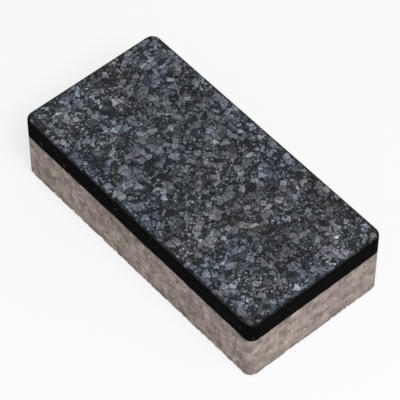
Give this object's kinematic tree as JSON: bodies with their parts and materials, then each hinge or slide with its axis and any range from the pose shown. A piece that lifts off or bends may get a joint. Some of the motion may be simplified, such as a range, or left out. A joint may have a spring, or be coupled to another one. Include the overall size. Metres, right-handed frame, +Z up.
{
  "type": "concrete paver",
  "caption": "Rectangular pressed concrete paver with a dark granite-chip facing on a pale concrete backing, laid in courses for paths and drives.",
  "frame": {"origin": "middle of the bed face, on the surface that the paver lies on", "axes": "+X along the length, +Y across the width, +Z up through the wearing face"},
  "size_m": [0.2, 0.1, 0.05],
  "materials": {
    "backing_concrete": "pressed concrete, pale pinkish grey, matt, sandy, with fine upright drag marks from the mould",
    "granite_facing": "black pigmented concrete with granite chips washed bare on the wearing face, dark grey, speckled, matt"
  },
  "bodies": {
    "root": {"backing_block": "backing_concrete", "facing_layer": "granite_facing"}
  },
  "joints": []
}
